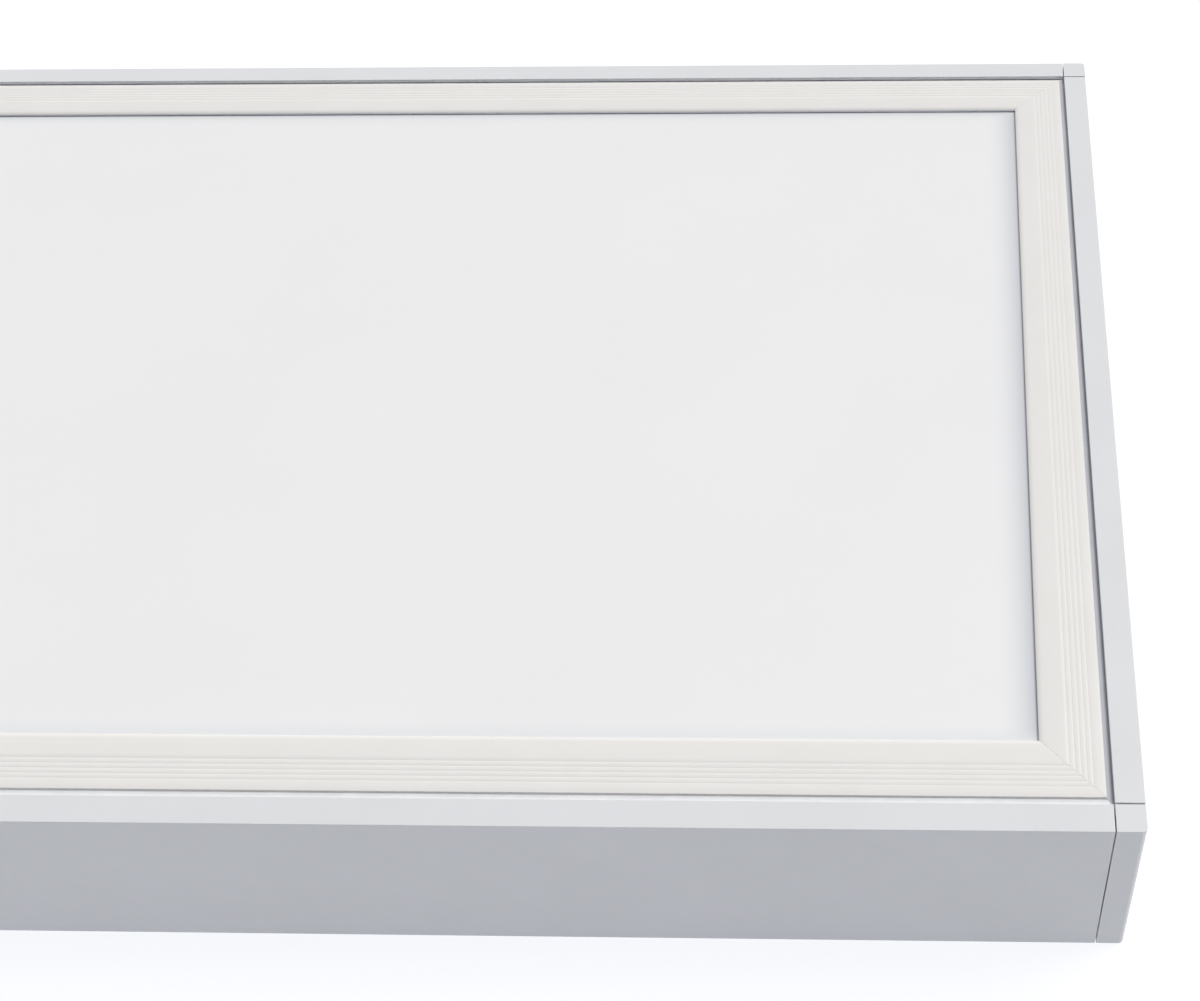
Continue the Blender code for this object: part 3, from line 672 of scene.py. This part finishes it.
def make_pan_screw(node):
    """A pan head screw that points up, with a hex socket in its head."""
    low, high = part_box(node)
    middle = centre(node)
    radius, length = (high.x - low.x) / 2, high.z - low.z
    shaft, socket, flat = (radius * share for share in (0.65, 0.5, 0.72))
    head, tip_length, pitch = 1.6 * MM, 0.5 * MM, 0.6 * MM
    profile = [(socket, head * 0.6), (socket, 0), (flat, 0)]
    for angle in (25, 45, 65, 90):
        turn = math.radians(angle)
        profile.append((flat + (radius - flat) * math.sin(turn), head / 2 * (1 - math.cos(turn))))
    profile += [(radius, head), (shaft, head)]
    profile += thread(shaft, head, length - tip_length, pitch)
    profile.append((shaft / 2, length))
    turned(node, profile, (middle.x, middle.y, low.z), hexagonal=(0, 1))


def make_screws():
    """Every screw, in the order of the frame's nodes."""
    for node in [name for name in frame["nodes"] if "_screw_" in name]:
        if "grub" in node:
            make_grub_screw(node)
        else:
            make_pan_screw(node)


def make_led_strips():
    """White board, white LED packages, yellow phosphor on the side that faces the light guide."""
    package_height, same_level = 1.05 * MM, 0.05 * MM
    for node in ("front_led_strip", "back_led_strip"):
        piece = rounded_copy(node, 0.08 * MM, 2)
        piece.data.materials.append(LED_BODY)
        piece.data.materials.append(LED_PHOSPHOR)
        inward = -math.copysign(1, centre(node).y)
        inner = min(abs(corner.y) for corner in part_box(node))
        for face in piece.data.polygons:
            depth = abs(face.center.y) - inner
            if depth < package_height:
                emits = face.normal.y * inward > 0.9 and depth < same_level
                face.material_index = 2 if emits else 1


def make_back_plate():
    """The plate and the stamped beads that stiffen it, clear of the driver, the lead and the screws."""
    rounded_copy("back_plate", 0.1 * MM, 2)
    low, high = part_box("back_plate")
    case_low, case_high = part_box("driver_case")
    margin, driver_gap, spacing = 60 * MM, 40 * MM, 40 * MM
    start, end = low.x + margin, high.x - margin
    outer = 0.33 * (high.y - low.y)
    spines = [(start, end, -outer), (start, end, outer)]
    for y in (-spacing, 0, spacing):
        spines.append((start, case_low.x - driver_gap, y))
        spines.append((case_high.x + driver_gap, end, y))
    pills("back_plate_beads", "back_plate", spines, 7 * MM, 0.7 * MM, low.z)


def make_driver_case():
    """The case, with ribs on its two long sides as far as the lid reaches."""
    rounded_copy("driver_case", 0.7 * MM, 4)
    low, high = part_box("driver_case")
    lid_low, lid_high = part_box("driver_lid")
    pitch, width, proud, margin = 6 * MM, 1.6 * MM, 0.4 * MM, 4 * MM
    bottom, top = low.z + margin, high.z - margin
    ribs = []
    for number in range(int((lid_high.x - lid_low.x - 4 * pitch) / pitch) + 1):
        x = lid_low.x + 2 * pitch + number * pitch
        for side in (low.y, high.y):
            ribs.append(((x - width / 2, side - proud, bottom), (x + width / 2, side + proud, top)))
    bars("driver_case_ribs", "driver_case", ribs, 0.35 * MM)


def make_driver_lid():
    """The lid, with a group of cooling bars near each end."""
    rounded_copy("driver_lid", 0.5 * MM, 3)
    low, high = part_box("driver_lid")
    length, margin, pitch = 34 * MM, 12 * MM, 4.5 * MM
    spines = []
    for row in range(-3, 4):
        for x in (low.x + margin, high.x - margin - length):
            spines.append((x, x + length, row * pitch))
    pills("driver_lid_bars", "driver_lid", spines, 2 * MM, 0.5 * MM, low.z)


def make_driver_board():
    """The board, with its components in a darker material."""
    thickness, tolerance = 1.6 * MM, 0.05 * MM
    board = rounded_copy("driver_board", 0.3 * MM, 2)
    board.data.materials.append(COMPONENTS)
    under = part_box("driver_board")[1].z - thickness - tolerance
    for face in board.data.polygons:
        face.material_index = int(face.center.z < under)


def make_terminal_block():
    """The block, its three levers with finger grips, and the pin that they turn on."""
    rounded_copy("terminal_block", 0.25 * MM, 3)
    first, pitch, width, inset = 1.2 * MM, 1.3 * MM, 0.6 * MM, 0.6 * MM
    proud, sunk = 0.25 * MM, 0.2 * MM
    for node in ("clamp_lever_1", "clamp_lever_2", "clamp_lever_3"):
        rounded_copy(node, 0.3 * MM, 3)
        low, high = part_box(node)
        grips = []
        for number in range(3):
            x = low.x + first + number * pitch
            grips.append(((x, low.y + inset, low.z - proud), (x + width, high.y - inset, low.z + sunk)))
        bars(node + "_grip", node, grips, 0.15 * MM)

    low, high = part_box("lever_pin")
    radius, half, chamfer = (high.x - low.x) / 2, (high.y - low.y) / 2, 0.15 * MM
    profile = [
        (radius - chamfer, -half),
        (radius, chamfer - half),
        (radius, half - chamfer),
        (radius - chamfer, half),
    ]
    turned("lever_pin", profile, centre("lever_pin"), (0, 1, 0))


def make_lead():
    """The round lead, down through the grommet and then along into the driver's end."""
    low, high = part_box("panel_lead")
    radius = (high.y - low.y) / 2
    drop, run = high.x - radius, low.z + radius
    bend, steps, sides = 12 * MM, 14, 24
    path = [(drop, high.z, 0), (drop, run + bend, 0)]
    for step in range(1, steps + 1):
        turn = math.radians(90 * step / steps)
        path.append((drop - bend * (1 - math.cos(turn)), run + bend * (1 - math.sin(turn)), turn))
    path.append((low.x, run, math.radians(90)))
    rings = []
    for x, z, turn in path:
        ring = []
        for side in range(sides):
            angle = 2 * math.pi * side / sides
            reach = radius * math.cos(angle)
            ring.append((x + reach * math.cos(turn), radius * math.sin(angle), z + reach * math.sin(turn)))
        rings.append(ring)
    bm = bmesh.new()
    skin(bm, rings)
    add_piece("panel_lead_round", smooth_mesh("panel_lead_round", bm, 40), "panel_lead")


def make_grommet():
    """The rubber ring that the lead passes through: a sleeve with a rounded flange below it."""
    low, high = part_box("lead_grommet")
    middle = centre("lead_grommet")
    height, flange = high.z - low.z, (high.x - low.x) / 2
    sleeve, bore, thickness = 3.2 * MM, 2.3 * MM, 1.5 * MM
    edge, sleeve_chamfer, bore_chamfer = 0.45 * MM, 0.2 * MM, 0.3 * MM
    profile = [
        (bore, height),
        (sleeve - sleeve_chamfer, height),
        (sleeve, height - sleeve_chamfer),
        (sleeve, thickness),
        (flange - edge, thickness),
    ]
    for angle in (30, 60, 90, 120, 150):
        turn = math.radians(angle)
        profile.append((flange - edge + edge * math.sin(turn), thickness / 2 * (1 + math.cos(turn))))
    profile += [(flange - edge, 0), (bore + bore_chamfer, 0), (bore, bore_chamfer)]
    turned_ring("lead_grommet", profile, (middle.x, middle.y, low.z))


def make_rest():
    """The four sheets, and then every CAD node that no piece has replaced yet."""
    for node in ("diffuser", "light_guide", "reflector", "foam_sheet"):
        rounded_copy(node, 0.1 * MM, 2)
    for node in frame["nodes"]:
        if not frame["nodes"][node].hide_render:
            rounded_copy(node, 0.15 * MM, 2)


bpy.context.scene.view_settings.view_transform = "Standard"
make_camera()
make_floor()
make_sky()
make_sun("key", 1.85, 34, azimuth=20, elevation=57, colour=(1.0, 0.985, 0.96))
make_frame_pieces()
make_bezels()
make_screws()
make_led_strips()
make_back_plate()
make_driver_case()
make_driver_lid()
make_driver_board()
make_terminal_block()
make_lead()
make_grommet()
make_rest()
